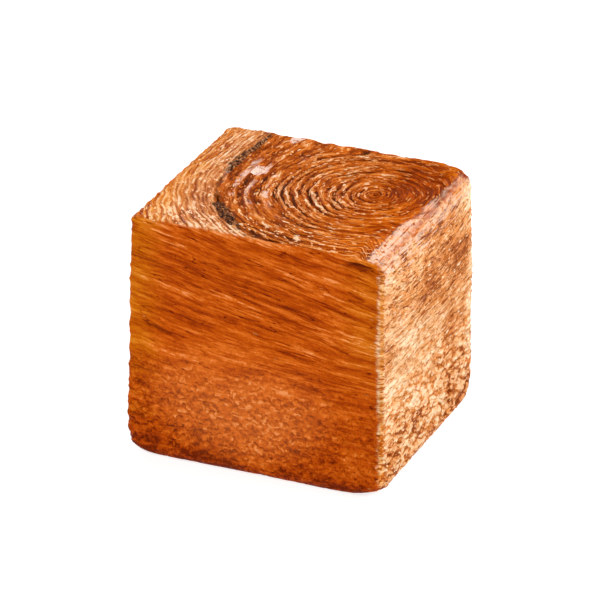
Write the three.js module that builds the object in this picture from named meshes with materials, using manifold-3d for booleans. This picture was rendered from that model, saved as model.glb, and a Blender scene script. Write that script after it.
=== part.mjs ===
// A cube-shaped garlic butter danish: laminated dough rolled up, stood on end and baked in a square
// tin. The sides carry thin stacked layers, the top shows the end of the roll, and the garlic filling
// shows there as a dark seam between two wraps.
// Millimetres, +Z up, the front side towards -Y. The origin is the centre of the base.
import * as THREE from "three";
import Module from "manifold-3d";

const wasm = await Module();
wasm.setup();
const { lerp, clamp, degToRad, smoothstep } = THREE.MathUtils;

// Driving dimensions of the block.
const WIDTH = 76.8; // along X at the base
const DEPTH = 71; // along Y at the base
const HEIGHT = 72.2;
const TOP_SCALE = 0.966; // the tin flares, so the top is a little smaller than the base
const BASE_ROUND = 3.4; // rounding where the front, left and back sides meet the base
const TOP_ROUND = 1.7; // and where they meet the top
const RIGHT_BASE_ROUND = 5.6; // the right side rolls over into the base and the top more softly
const RIGHT_TOP_ROUND = 5.2;
const UPRIGHT_ROUND = 1.5; // three of the upright edges
const BACK_RIGHT_ROUND = 4.5; // the fourth is softer
const LOW_CORNER = 5.5; // how much rounder the upright edges get at the base
const LOW_CORNER_HEIGHT = 16; // height where that begins
const ROUND_STEPS = 4; // outlines in one rounding
const CORNER_STEPS = 2; // outline steps round one upright edge
const SIDE_STEPS = 18; // outline steps along one side

// Layers on the sides.
const LAYER_PITCH = 4.4; // height of one stacked layer
const LAYER_RELIEF = 0.32; // how far a layer stands proud of the gap beside it
const LAYER_DIP = 5; // how far a layer falls across half of the front
const SWELL = 0.5; // broad unevenness of a side

// The end of the roll on the top.
const SWIRL_X = 18.5; // centre of the roll, right of the middle
const SWIRL_Y = 6.1; // and a little behind it
const WRAP_PITCH = 4.5; // from one wrap to the next
const WRAP_TURNS = 15; // enough to reach the furthest corner
const WRAP_STEPS = 36; // steps in one turn
const GROOVE_DEPTH = 1.2; // the deepest line between two wraps
const SHOULDER_DEPTH = 0.4; // where a wrap's round top gives way to the groove
const ROUND_WITHIN = 25; // wraps are round inside this radius
const STRAIGHT_FROM = 43; // and run straight along the left side beyond this one

// The seam of garlic filling, which lies between two wraps.
const SEAM_RADIUS = 43.8;
const SEAM_ANGLES = [148, 236]; // degrees about the centre of the roll, back to front
const SEAM_STEPS = 30;
const SEAM_FLOOR = 9; // dough that closes the roll underneath
const SEAM_SUNK = 0.7; // how far the filling lies below the top
const SEAM_BUMP = 0.3; // unevenness of the filling's top
const SEAM_GAP = 0.3; // clearance between filling and dough

// A smooth wave of about -1 to 1 that doesn't repeat within the part: hand-made unevenness.
function waver(a, b) {
  const slow = 0.5 * Math.sin(1.7 * a + 0.6 * b);
  const middle = 0.3 * Math.sin(3.1 * a - 2.3 * b + 1.3);
  const quick = 0.2 * Math.sin(5.3 * a + 4.1 * b + 2.9);
  return slow + middle + quick;
}

// How far a side draws in at height z, where it rounds into the base and into the top.
function drawIn(z, baseRound, topRound) {
  const low = clamp(baseRound - z, 0, baseRound);
  const high = clamp(z - (HEIGHT - topRound), 0, topRound);
  const atBase = baseRound - Math.sqrt(baseRound ** 2 - low ** 2);
  const atTop = topRound - Math.sqrt(topRound ** 2 - high ** 2);
  return atBase + atTop;
}

// The closed outline at height z, counter-clockwise seen from above: each point has its outward
// direction, its side (0 front, 1 right, 2 back, 3 left) and its share of the way along that side.
function outline(z) {
  const taper = lerp(1, TOP_SCALE, z / HEIGHT) / 2;
  const firm = drawIn(z, BASE_ROUND, TOP_ROUND);
  const soft = drawIn(z, RIGHT_BASE_ROUND, RIGHT_TOP_ROUND);
  const left = firm - WIDTH * taper;
  const right = WIDTH * taper - soft;
  const front = firm - DEPTH * taper;
  const back = DEPTH * taper - firm;
  const low = LOW_CORNER * Math.max(1 - z / LOW_CORNER_HEIGHT, 0) ** 2;
  const firmRound = UPRIGHT_ROUND + 0.6 * firm + low;
  const softRound = UPRIGHT_ROUND + 0.6 * soft + low;
  const backRightRound = BACK_RIGHT_ROUND + 0.6 * soft + low;
  const corners = [
    { x: left + firmRound, y: front + firmRound, r: firmRound, turn: 180 },
    { x: right - softRound, y: front + softRound, r: softRound, turn: 270 },
    { x: right - backRightRound, y: back - backRightRound, r: backRightRound, turn: 0 },
    { x: left + firmRound, y: back - firmRound, r: firmRound, turn: 90 },
  ];
  const arcPoint = (corner, degrees) => {
    const out = new THREE.Vector2(Math.cos(degToRad(degrees)), Math.sin(degToRad(degrees)));
    return { x: corner.x + corner.r * out.x, y: corner.y + corner.r * out.y, out };
  };
  const points = [];
  corners.forEach((corner, side) => {
    for (let i = 0; i < CORNER_STEPS; i++) {
      points.push({ ...arcPoint(corner, corner.turn + (90 * i) / CORNER_STEPS), side, share: 0 });
    }
    const from = arcPoint(corner, corner.turn + 90);
    const to = arcPoint(corners[(side + 1) % 4], corner.turn + 90);
    for (let i = 0; i < SIDE_STEPS; i++) {
      const share = i / SIDE_STEPS;
      const x = lerp(from.x, to.x, share);
      const y = lerp(from.y, to.y, share);
      points.push({ x, y, out: from.out, side, share });
    }
  });
  return points;
}

// Heights of the outlines: close together in the roundings, and two for each layer between them.
function levels() {
  const heights = [];
  const quarter = Math.PI / 2 / ROUND_STEPS;
  for (let i = 0; i < ROUND_STEPS; i++) {
    heights.push({ z: RIGHT_BASE_ROUND * (1 - Math.cos(i * quarter)), proud: 0 });
  }
  const low = RIGHT_BASE_ROUND;
  const high = HEIGHT - RIGHT_TOP_ROUND;
  const halves = Math.round((2 * (high - low)) / LAYER_PITCH);
  for (let i = 0; i <= halves; i++) {
    heights.push({ z: lerp(low, high, i / halves), proud: i % 2 ? 1 : -1 });
  }
  for (let i = 1; i <= ROUND_STEPS; i++) {
    heights.push({ z: high + RIGHT_TOP_ROUND * Math.sin(i * quarter), proud: 0 });
  }
  return heights;
}

// Layers fall from left to right across the front and come back up round the other sides.
function layerShift({ side, share }) {
  const ends = [
    [1, -1],
    [-1, -0.7],
    [-0.7, 0.3],
    [0.3, 1],
  ][side];
  return LAYER_DIP * lerp(...ends, share);
}

// The block before the roll's end is cut: outlines stacked from the base to the top.
function makeBlock() {
  const positions = [];
  const heights = levels();
  let count = 0;
  heights.forEach(({ z, proud }, row) => {
    const points = outline(z);
    count = points.length;
    const middle = Math.sin((Math.PI * z) / HEIGHT);
    points.forEach((point, i) => {
      const uneven = 0.7 + 0.5 * waver(i * 0.37, row * 0.9);
      const swell = SWELL * middle * waver(i * 0.045 + 2, z * 0.05);
      const relief = LAYER_RELIEF * proud * uneven + swell;
      const x = point.x + relief * point.out.x;
      const y = point.y + relief * point.out.y;
      positions.push(x, y, z + layerShift(point) * middle ** 2);
    });
  });
  const foot = positions.length / 3;
  positions.push(0, 0, 0, 0, 0, HEIGHT);
  const index = [];
  const top = (heights.length - 1) * count;
  for (let i = 0; i < count; i++) {
    const next = (i + 1) % count;
    index.push(foot, next, i, foot + 1, top + i, top + next);
    for (let row = 0; row < top; row += count) {
      index.push(row + i, row + next, row + next + count);
      index.push(row + i, row + next + count, row + i + count);
    }
  }
  return solid(positions, index);
}

// A point of a wrap: round near the centre, and straight along the left side further out.
function wrapPoint(radius, degrees) {
  const fromLeft = Math.abs(180 - degrees);
  const reach = degrees < 180 ? clamp(fromLeft, 0, 38) * smoothstep(90 - fromLeft, 0, 40) : 0;
  const straighten = 0.7 * smoothstep(radius, ROUND_WITHIN, STRAIGHT_FROM);
  const stretched = radius * lerp(1, 1 / Math.cos(degToRad(reach)), straighten);
  const out = new THREE.Vector2(Math.cos(degToRad(degrees)), Math.sin(degToRad(degrees)));
  return { x: SWIRL_X + stretched * out.x, y: SWIRL_Y + stretched * out.y, out };
}

// A closed bar through stations: each has a point, the direction across it, and its section as
// [across, z] pairs, counter-clockwise seen along the direction of travel.
function sweep(stations) {
  const positions = [];
  const size = stations[0].section.length;
  for (const { point, section } of stations) {
    for (const [across, z] of section) {
      positions.push(point.x + across * point.out.x, point.y + across * point.out.y, z);
    }
  }
  const index = [];
  for (let i = 0; i + 1 < stations.length; i++) {
    for (let j = 0; j < size; j++) {
      const a = i * size + j;
      const b = i * size + ((j + 1) % size);
      index.push(a, b + size, b, a, a + size, b + size);
    }
  }
  const ends = stations[0].section.map(([across, z]) => new THREE.Vector2(across, z));
  const last = (stations.length - 1) * size;
  for (const [a, b, c] of THREE.ShapeUtils.triangulateShape(ends, [])) {
    index.push(a, b, c, last + c, last + b, last + a);
  }
  return solid(positions, index);
}

// The cutter for the spiral groove between the wraps, round-shouldered so each wrap's top is round.
function makeGroove() {
  const stations = [];
  const half = 0.46 * WRAP_PITCH;
  const above = HEIGHT + 1;
  for (let i = WRAP_STEPS / 2; i <= WRAP_TURNS * WRAP_STEPS; i++) {
    const turn = i / WRAP_STEPS;
    const degrees = (turn % 1) * 360;
    const drift = 0.16 * WRAP_PITCH * waver(turn * 2.1, degrees * 0.02) * smoothstep(turn, 0.5, 2);
    const deep = 1 + 0.35 * waver(turn * 1.9 + 1, degrees * 0.035);
    const point = wrapPoint(WRAP_PITCH * turn + drift, degrees);
    const section = [
      [-half, above],
      [-half, HEIGHT - 0.05],
      [-0.4 * half, HEIGHT - SHOULDER_DEPTH * deep],
      [0, HEIGHT - GROOVE_DEPTH * deep],
      [0.4 * half, HEIGHT - SHOULDER_DEPTH * deep],
      [half, HEIGHT - 0.05],
      [half, above],
    ];
    stations.push({ point, section });
  }
  return sweep(stations);
}

// Half the seam's width at a share of its length: even at the back, pinched in the middle, wide
// where the filling has run out, and narrow where it meets the front.
function seamHalf(share) {
  const pinch = smoothstep(share, 0.3, 0.45) * (1 - smoothstep(share, 0.55, 0.72));
  const pool = smoothstep(share, 0.6, 0.78) * (1 - smoothstep(share, 0.82, 1));
  const ends = smoothstep(share, 0, 0.06) * (1 - smoothstep(share, 0.9, 1));
  return 0.35 + 0.65 * ends - 0.5 * pinch + 0.7 * pool;
}

// The standing sheet of filling, or with a clearance the slot that holds it.
function makeSeam(clearance, top) {
  const stations = [];
  for (let i = 0; i <= SEAM_STEPS; i++) {
    const share = i / SEAM_STEPS;
    const beyond = ((share - 0.5) * 2 * clearance) / SEAM_RADIUS;
    const degrees = lerp(...SEAM_ANGLES, share) + THREE.MathUtils.radToDeg(beyond);
    const half = seamHalf(share) + clearance;
    const bottom = SEAM_FLOOR - clearance;
    const [inner, outer] = [top(share, -1), top(share, 1)];
    const section = [
      [-half, inner],
      [-half, bottom],
      [half, bottom],
      [half, outer],
    ];
    stations.push({ point: wrapPoint(SEAM_RADIUS, degrees), section });
  }
  return sweep(stations);
}

function makeFilling() {
  const crumbly = (share, side) => SEAM_BUMP * waver(share * 40 + side, share * 17 - side * 2);
  return makeSeam(0, (share, side) => HEIGHT - SEAM_SUNK + crumbly(share, side));
}

// Triangles as a solid that can be cut and joined.
function solid(positions, index) {
  const vertProperties = new Float32Array(positions);
  const triVerts = new Uint32Array(index);
  return new wasm.Manifold(new wasm.Mesh({ numProp: 3, vertProperties, triVerts }));
}

// A named mesh of a solid.
function meshOf(name, shape, color, roughness) {
  const { vertProperties, triVerts } = shape.getMesh();
  const geometry = new THREE.BufferGeometry();
  geometry.setAttribute("position", new THREE.BufferAttribute(vertProperties, 3));
  geometry.setIndex(new THREE.BufferAttribute(triVerts, 1));
  const material = new THREE.MeshStandardMaterial({ color, roughness, metalness: 0 });
  const mesh = new THREE.Mesh(geometry, material);
  mesh.name = name;
  return mesh;
}

const slot = makeSeam(SEAM_GAP, () => HEIGHT + 2);
const dough = makeBlock().subtract(makeGroove()).subtract(slot);

// The uneven sides shift the block a little, so the whole is centred again.
const { min, max } = dough.boundingBox();
const group = new THREE.Group();
group.add(meshOf("pastry", dough, 0xc8742a, 0.5));
group.add(meshOf("garlic_filling", makeFilling(), 0x4a3320, 0.6));
group.position.set(-(min[0] + max[0]) / 2, -(min[1] + max[1]) / 2, 0);
export default group;
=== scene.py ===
import bpy
import math
import numpy as np
from types import SimpleNamespace
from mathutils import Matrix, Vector


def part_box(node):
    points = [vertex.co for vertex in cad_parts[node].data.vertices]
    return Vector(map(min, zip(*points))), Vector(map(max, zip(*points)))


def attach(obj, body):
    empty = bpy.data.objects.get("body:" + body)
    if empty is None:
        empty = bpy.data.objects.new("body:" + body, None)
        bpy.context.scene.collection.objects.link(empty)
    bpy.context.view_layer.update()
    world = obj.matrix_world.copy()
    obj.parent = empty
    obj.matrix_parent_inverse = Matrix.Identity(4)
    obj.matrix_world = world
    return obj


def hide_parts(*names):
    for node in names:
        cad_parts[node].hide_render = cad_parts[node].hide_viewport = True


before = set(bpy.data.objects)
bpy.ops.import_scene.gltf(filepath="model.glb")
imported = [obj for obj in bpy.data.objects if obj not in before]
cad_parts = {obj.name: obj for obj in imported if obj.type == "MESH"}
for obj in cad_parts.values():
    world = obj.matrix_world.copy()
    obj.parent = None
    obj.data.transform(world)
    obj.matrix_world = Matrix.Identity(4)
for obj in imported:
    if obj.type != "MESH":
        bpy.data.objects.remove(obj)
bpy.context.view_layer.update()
mm = 0.001
perSquareMm = 1e6
fullTurn = 2 * math.pi
print("frame loaded")


# Nodes and sums, for geometry trees and material trees alike.
current = SimpleNamespace(tree=None)    # the tree that new nodes go into


class Wire:
    # A socket that adds and multiplies like a number.
    def __init__(self, socket):
        self.socket = socket

    def math(self, operation, *others):
        return calc(operation, self, *others)

    def vector(self, operation, *others):
        return calc(operation, self, *others, kind="ShaderNodeVectorMath")

    def __add__(self, other):
        return self.math("ADD", other)

    def __sub__(self, other):
        return self.math("SUBTRACT", other)

    def __rsub__(self, other):
        return calc("SUBTRACT", other, self)

    def __mul__(self, other):
        return self.math("MULTIPLY", other)

    def __truediv__(self, other):
        return self.math("DIVIDE", other)

    def __rtruediv__(self, other):
        return calc("DIVIDE", other, self)

    def __pow__(self, other):
        return self.math("POWER", other)

    def __neg__(self):
        return self.math("MULTIPLY", -1)

    __radd__ = __add__
    __rmul__ = __mul__


def feed(socket, value):
    if isinstance(value, Wire):
        current.tree.links.new(value.socket, socket)
    else:
        socket.default_value = value


def addNode(kind, settings=None, **inputs):
    # Input names are written with underscores for their spaces.
    made = current.tree.nodes.new(kind)
    for key, value in (settings or {}).items():
        setattr(made, key, value)
    for key, value in inputs.items():
        name = key.replace("_", " ")
        feed(next(s for s in made.inputs if s.name == name and s.enabled), value)
    return made


def output(made, name):
    return Wire(next(s for s in made.outputs if s.name == name and s.enabled))


def result(kind, name, settings=None, **inputs):
    # A new node's output of that name.
    return output(addNode(kind, settings, **inputs), name)


def calc(operation, *values, kind="ShaderNodeMath"):
    made = addNode(kind, {"operation": operation})
    for socket, value in zip(made.inputs, values):
        feed(socket, value)
    return Wire(made.outputs[0])


def scaled(vector, factor):
    return result("ShaderNodeVectorMath", "Vector", {"operation": "SCALE"}, Vector=vector, Scale=factor)


def ease(value, low, high, start=0.0, end=1.0):
    # A smooth step from start to end while value goes from low to high.
    return result("ShaderNodeMapRange", "Result", {"interpolation_type": "SMOOTHSTEP"},
                  Value=value, From_Min=low, From_Max=high, To_Min=start, To_Max=end)


def blendOf(share, first, second):
    # first where share is 0, second where it is 1.
    return first + share * (second - first)


def awayFrom(values, middle, reach):
    # The squared distance from an oval's middle, which is 1 on the oval.
    return sum(((value - centre) / span) ** 2 for value, centre, span in zip(values, middle, reach))


def vectorOf(x, y, z):
    return result("ShaderNodeCombineXYZ", "Vector", X=x, Y=y, Z=z)


def partsOf(vector):
    return [Wire(s) for s in addNode("ShaderNodeSeparateXYZ", Vector=vector).outputs]


def noise(vector, scale, detail=2.0, roughness=0.5, across=None):
    # Noise from -1 to 1. With a value for across it runs in streaks along the layers.
    settings = {"noise_dimensions": "3D" if across is None else "4D"}
    made = addNode("ShaderNodeTexNoise", settings, Vector=vector, Scale=scale, Detail=detail,
                   Roughness=roughness)
    if across is not None:
        feed(made.inputs["W"], across / scale)
    return output(made, "Fac") * 2 - 1


def cells(vector, scale, feature="F1"):
    return result("ShaderNodeTexVoronoi", "Distance", {"feature": feature}, Vector=vector, Scale=scale)


# Trees of Geometry Nodes, and the meshes they leave.
boxKinds = {"Low": "NodeSocketVector", "High": "NodeSocketVector", "Material": "NodeSocketMaterial"}


def geometryTree(name, sizes, whole=()):
    # Starts a tree, and gives its named inputs: each size, the box and the material.
    kinds = {key: "NodeSocketInt" if key in whole else "NodeSocketFloat" for key in sizes}
    tree = current.tree = bpy.data.node_groups.new(name, "GeometryNodeTree")
    for way in ("INPUT", "OUTPUT"):
        tree.interface.new_socket("Geometry", in_out=way, socket_type="NodeSocketGeometry")
    for key, kind in {**kinds, **boxKinds}.items():
        tree.interface.new_socket(key, in_out="INPUT", socket_type=kind)
    return {s.name: Wire(s) for s in addNode("NodeGroupInput").outputs if s.name}


def placeOf():
    return result("GeometryNodeInputPosition", "Position")


def normalOf():
    return result("GeometryNodeInputNormal", "Normal")


def fieldOf(name, kind="FLOAT"):
    return result("GeometryNodeInputNamedAttribute", "Attribute", {"data_type": kind}, Name=name)


def randomOf(low, high, seed, kind="FLOAT"):
    return result("FunctionNodeRandomValue", "Value", {"data_type": kind}, Min=low, Max=high, Seed=seed)


def store(geometry, kind="FLOAT", domain="POINT", **values):
    # Keeps each value as an attribute of that name.
    for key, value in values.items():
        geometry = result("GeometryNodeStoreNamedAttribute", "Geometry",
                          {"data_type": kind, "domain": domain}, Geometry=geometry, Name=key, Value=value)
    return geometry


def joined(*parts):
    made = addNode("GeometryNodeJoinGeometry")
    for part in parts:
        feed(made.inputs[0], part)
    return Wire(made.outputs[0])


def moved(geometry, **place):
    return result("GeometryNodeSetPosition", "Geometry", Geometry=geometry, **place)


def realized(geometry):
    return result("GeometryNodeRealizeInstances", "Geometry", Geometry=geometry)


def finishTree(geometry, given):
    # Nothing leaves the box of the solid. Then the material goes on.
    inside = placeOf().vector("MAXIMUM", given["Low"]).vector("MINIMUM", given["High"])
    held = moved(geometry, Position=inside)
    painted = result("GeometryNodeSetMaterial", "Geometry", Geometry=realized(held),
                     Material=given["Material"])
    feed(addNode("NodeGroupOutput").inputs[0], painted)
    return current.tree


def grow(piece, tree, values):
    # Runs the tree on the piece and keeps the result as a plain mesh.
    modifier = piece.modifiers.new(tree.name, "NODES")
    modifier.node_group = tree
    for item in tree.interface.items_tree:
        if item.in_out == "INPUT" and item.name in values:
            modifier[item.identifier] = values[item.name]
    seen = piece.evaluated_get(bpy.context.evaluated_depsgraph_get())
    grown = bpy.data.meshes.new_from_object(seen)
    piece.modifiers.clear()
    old = piece.data
    piece.data = grown
    grown.name = piece.name
    bpy.data.meshes.remove(old)
    return piece


def smooth(mesh):
    mesh.polygons.foreach_set("use_smooth", [True] * len(mesh.polygons))


def newPiece(name, points=(), faces=()):
    mesh = bpy.data.meshes.new(name)
    mesh.from_pydata([tuple(p) for p in points], [], faces)
    smooth(mesh)
    mesh.update()
    piece = bpy.data.objects.new(name, mesh)
    bpy.context.scene.collection.objects.link(piece)
    return piece


# The block: a smooth cube of dough, before its layers show.
block = {
    "width": 76.8, "depth": 71.0, "height": 72.2,   # mm at the base
    "topScale": 0.966,    # the tin flares
    "baseRound": 3.4, "topRound": 1.7, "rightBaseRound": 5.6, "rightTopRound": 5.2,
    "uprightRound": 1.5, "backRightRound": 4.5,    # the upright edges
    "lowCorner": 5.5, "lowCornerHeight": 16.0,    # they get rounder towards the base
    "columns": (92, 86), "cornerColumns": 6,    # round one side and one corner
    "baseRows": 9, "sideRows": 118, "topRows": 14, "footRings": 8,
    "swell": 0.4,    # broad unevenness of the sides
}


def drawIn(z, baseRound, topRound):
    # How far a side draws in at height z, where it rounds into the base and the top.
    low = min(max(baseRound - z, 0), baseRound)
    high = min(max(z - block["height"] + topRound, 0), topRound)
    atBase = baseRound - math.sqrt(baseRound ** 2 - low ** 2)
    atTop = topRound - math.sqrt(max(topRound ** 2 - high ** 2, 0))
    return atBase + atTop


def waver(a, b):
    return (0.5 * np.sin(1.7 * a + 0.6 * b) + 0.3 * np.sin(3.1 * a - 2.3 * b + 1.3)
            + 0.2 * np.sin(5.3 * a + 4.1 * b + 2.9))


def cornersAt(z):
    # The four corners at height z: the middle of the round, its radius and where it starts.
    taper = (1 + (block["topScale"] - 1) * z / block["height"]) / 2
    firm = drawIn(z, block["baseRound"], block["topRound"])
    soft = drawIn(z, block["rightBaseRound"], block["rightTopRound"])
    left, right = firm - block["width"] * taper, block["width"] * taper - soft
    front, back = firm - block["depth"] * taper, block["depth"] * taper - firm
    low = block["lowCorner"] * max(1 - z / block["lowCornerHeight"], 0) ** 2
    firmRound = block["uprightRound"] + 0.6 * firm + low
    softRound = block["uprightRound"] + 0.6 * soft + low
    backRound = block["backRightRound"] + 0.6 * soft + low
    return [(left + firmRound, front + firmRound, firmRound, 180),
            (right - softRound, front + softRound, softRound, 270),
            (right - backRound, back - backRound, backRound, 0),
            (left + firmRound, back - firmRound, firmRound, 90)]


def outline(z, finer=1):
    # The outline at height z, from the middle of the front left corner and counter-clockwise.
    corners = cornersAt(z)
    points, outward = [], []
    half = block["cornerColumns"] * finer // 2

    def arc(corner, degrees):
        turn = math.radians(degrees)
        out = (math.cos(turn), math.sin(turn))
        points.append((corner[0] + corner[2] * out[0], corner[1] + corner[2] * out[1], z))
        outward.append(out)

    for side, corner in enumerate(corners):
        after = corners[(side + 1) % 4]
        end = corner[3] + 90
        for i in range(half):
            arc(corner, corner[3] + 45 + 45 * i / half)
        out = (math.cos(math.radians(end)), math.sin(math.radians(end)))
        start = np.array(corner[:2]) + corner[2] * np.array(out)
        stop = np.array(after[:2]) + after[2] * np.array(out)
        count = block["columns"][side % 2] * finer
        for i in range(count):
            points.append((*(start + (stop - start) * i / count), z))
            outward.append(out)
        for i in range(half):
            arc(after, end + 45 * i / half)
    points, outward = np.array(points), np.array(outward)
    share = np.arange(len(points)) / len(points)
    swell = block["swell"] * math.sin(math.pi * z / block["height"]) * waver(share * 4 + 2, z * 0.05)
    points[:, :2] += outward * (swell - 0.15 * block["swell"])[:, None]
    return points


def rowHeights():
    # Closer together where the sides round into the base and the top.
    base, high = block["rightBaseRound"], block["height"] - block["rightTopRound"]
    quarter = math.pi / 2
    low = [base * (1 - math.cos(quarter * i / block["baseRows"])) for i in range(block["baseRows"])]
    top = [high + block["rightTopRound"] * math.sin(quarter * i / block["topRows"])
           for i in range(1, block["topRows"])]
    return [*low, *np.linspace(base, high, block["sideRows"]), *top]


def sideFaces(ring, rows):
    beside = [(i, (i + 1) % ring) for i in range(ring)]
    return [(low + i, low + j, low + ring + j, low + ring + i)
            for low in range(0, (rows - 1) * ring, ring) for i, j in beside]


def rimFaces(ring, last, rimStart):
    # The rim has two columns above each one of the last row.
    faces = []
    for i in range(ring):
        j = (i + 1) % ring
        a, b, c = rimStart + 2 * i, rimStart + 2 * i + 1, rimStart + (2 * i + 2) % (2 * ring)
        faces += [(last + i, last + j, b), (last + i, b, a), (last + j, c, b)]
    return faces


def topGrid(rim):
    # A grid stretched inside the rim, and which of the rim's points are its four edges.
    across, along = (2 * (count + block["cornerColumns"]) for count in block["columns"])
    front = np.arange(across + 1)
    right = across + np.arange(along + 1)
    back = across + along + front[::-1]
    left = (2 * across + along + np.arange(along + 1)[::-1]) % len(rim)
    u = np.linspace(0, 1, across + 1)[None, :, None]
    v = np.linspace(0, 1, along + 1)[:, None, None]
    grid = ((1 - v) * rim[front][None] + v * rim[back][None]
            + (1 - u) * rim[left][:, None] + u * rim[right][:, None])
    grid -= ((1 - u) * (1 - v) * rim[0] + u * (1 - v) * rim[across]
             + u * v * rim[across + along] + (1 - u) * v * rim[2 * across + along])
    return grid, (front, right, back, left)


def gridIndex(edges, rimStart, start):
    # Which point each place of the grid is: the rim's along its edges, new ones inside.
    front, right, back, left = edges
    rows, columns = len(left), len(front)
    index = np.zeros((rows, columns), int)
    index[0, :], index[-1, :] = rimStart + front, rimStart + back
    index[:, 0], index[:, -1] = rimStart + left, rimStart + right
    index[1:-1, 1:-1] = start + np.arange((rows - 2) * (columns - 2)).reshape(rows - 2, columns - 2)
    return index


def addFoot(points, faces, ring):
    # The foot closes in rings round the middle.
    outer = points[:ring]
    previous = list(range(ring))
    for step in range(1, block["footRings"]):
        start = len(points)
        points += [p * (1 - step / block["footRings"]) for p in outer]
        current = list(range(start, start + ring))
        faces += [(previous[i], current[i], current[(i + 1) % ring], previous[(i + 1) % ring])
                  for i in range(ring)]
        previous = current
    points.append(np.zeros(3))
    faces += [(previous[i], len(points) - 1, previous[(i + 1) % ring]) for i in range(ring)]


def blockMesh():
    rings = [outline(z) for z in rowHeights()]
    ring = len(rings[0])
    rim = outline(block["height"], 2)
    points = [*np.concatenate(rings), *rim]
    rimStart = len(rings) * ring
    faces = sideFaces(ring, len(rings)) + rimFaces(ring, rimStart - ring, rimStart)
    grid, edges = topGrid(rim)
    index = gridIndex(edges, rimStart, len(points))
    points += list(grid[1:-1, 1:-1].reshape(-1, 3))
    faces += [(index[j, i], index[j, i + 1], index[j + 1, i + 1], index[j + 1, i])
              for j in range(len(index) - 1) for i in range(len(index[0]) - 1)]
    addFoot(points, faces, ring)
    return newPiece("danishCrust", np.array(points) * mm, [tuple(int(k) for k in face) for face in faces])


# The crust's layers: wraps on the top, streaks and pits on the sides.
layers = {
    "Centre X": 18.5, "Centre Y": 6.1,    # mm, middle of the roll
    "Wrap Pitch": 2.3, "Wrap Height": 0.8,
    "Band Pitch": 4.6, "Band Height": 0.7,
    "Fine Pitch": 1.15, "Fine Height": 0.3,
    "Streak Height": 0.55,
    "Pit Size": 1.8, "Pit Depth": 0.45,
    "Scallop Pitch": 4.4, "Scallop Height": 0.25, "Edge Bumps": 0.5,
    "Seam Radius": 43.5, "Seam Depth": 62.0,
    "Seed": 7.0,
}
# The seam between two wraps: narrow at the back, closed in the middle, wide where the filling ran out.
seam = {
    "from": 0.4139, "to": 0.6556,    # shares of a turn
    "half": 0.5, "pool": 0.8,    # mm, half its width and what the wide part adds
    "ragged": 1.4, "sway": 0.7,    # mm
}
# The slit under the rim, near the front right corner, in mm.
slit = {"x": 30.2, "z": 69.3, "slope": 0.06, "halfLength": 4.2, "halfHeight": 0.6, "depth": 0.9}
# Where each kind of layer lies, given by the two ends of its edge in mm.
regions = {
    "wraps": (31, 25), "bands": (45, 42), "outside": (43, 46),    # out from the middle of the roll
    "leftHalf": (8, -12),    # along X from that middle
    "rim": (31.2, 32.6),    # along X
    "pitted": (42, 16), "falling": (20, 54), "smiling": (30, 68),   # along Z, on the sides
}
# How the wraps are drawn straight: from and to how far out in mm, and by how much.
straightened = {"behind": (24, 43, 0.5), "before": (46, 76, 0.3), "right": (9, 17, 0.3)}
# How the layers fall across the front, as a slope, and smile on the right, in mm.
course = {"fall": 0.2, "smile": 5, "smileMiddle": 4, "smileReach": 34}
# What the layers store for the crust's finish.
layerFields = ("wrapAcross", "layerAcross", "topShare", "hollow", "wrapShare", "bandShare", "bandCos",
               "scorch", "rim", "slit", "leftward", "low", "radius", "upright")


def spotsIn(given):
    # Where each point is in mm, and where the noise is read for it.
    spot = scaled(placeOf(), 1 / mm)
    seed = given["Seed"]
    return spot, spot.vector("ADD", vectorOf(seed * 13.7, seed * 5.1, seed * 9.3))


def rollAt(given):
    # How far out in the roll a spot lies and at which turn: the wraps are round near the centre
    # and drawn straight along the left, the back and the right.
    at = SimpleNamespace(given=given)
    at.spot, at.rough = spotsIn(given)
    at.x, at.y, at.z = partsOf(at.spot)
    at.dx = at.x - given["Centre X"] + noise(at.rough, 0.07) * 1.2
    at.dy = at.y - given["Centre Y"] + noise(at.rough, 0.055, 1) * 1.2
    far = (at.dx * at.dx + at.dy * at.dy).math("SQRT")
    behind = at.dy.math("GREATER_THAN", 0)

    def straight(value, side):
        low, high, share = straightened[side]
        return ease(value, low, high) * share

    at.squeeze = (1 - behind * straight(far, "behind") - (1 - behind) * straight(far, "before")
                 - straight(at.dx, "right"))
    at.radius = (at.dx * at.dx + at.dy * at.dy * at.squeeze * at.squeeze).math("SQRT")
    at.turn = at.dy.math("ARCTAN2", at.dx) / fullTurn
    return at


def besideSeam(at, pinching, beyond=0.0):
    # How far a spot is from the edge of the seam in mm, below zero inside it, and how pinched the
    # seam is there.
    share = (at.turn.math("WRAP", 1, 0) - seam["from"]) / (seam["to"] - seam["from"])
    pinch = ease(share, 0.3, 0.42) * ease(share, 0.74, 0.6)
    pool = ease(share, 0.6, 0.78) * ease(share, 1, 0.82)
    ends = ease(share, -0.02 - beyond, 0.02 - beyond) * ease(share, 1.04 + beyond, 0.94 + beyond)
    shut = 1.5    # mm past its middle line where it has no width
    half = ((seam["half"] - pinch * pinching + pool * seam["pool"] + shut) * ends - shut
            + noise(at.rough, 0.35, 2, 0.6) * seam["ragged"])
    middle = at.radius + noise(at.rough, 0.3, 2) * seam["sway"] - at.given["Seam Radius"]
    return middle.math("ABSOLUTE") - half, pinch


def ridges(at, pitch):
    # Crests and grooves as a cosine, and how strong they are along each wrap.
    phase = at.wrapAcross / pitch - at.turn
    uneven = ease(noise(at.rough, 0.14, 2, across=phase * 0.8), -0.3, 0.3, 0.1, 1)
    return (phase * fullTurn).math("COSINE"), uneven


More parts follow.
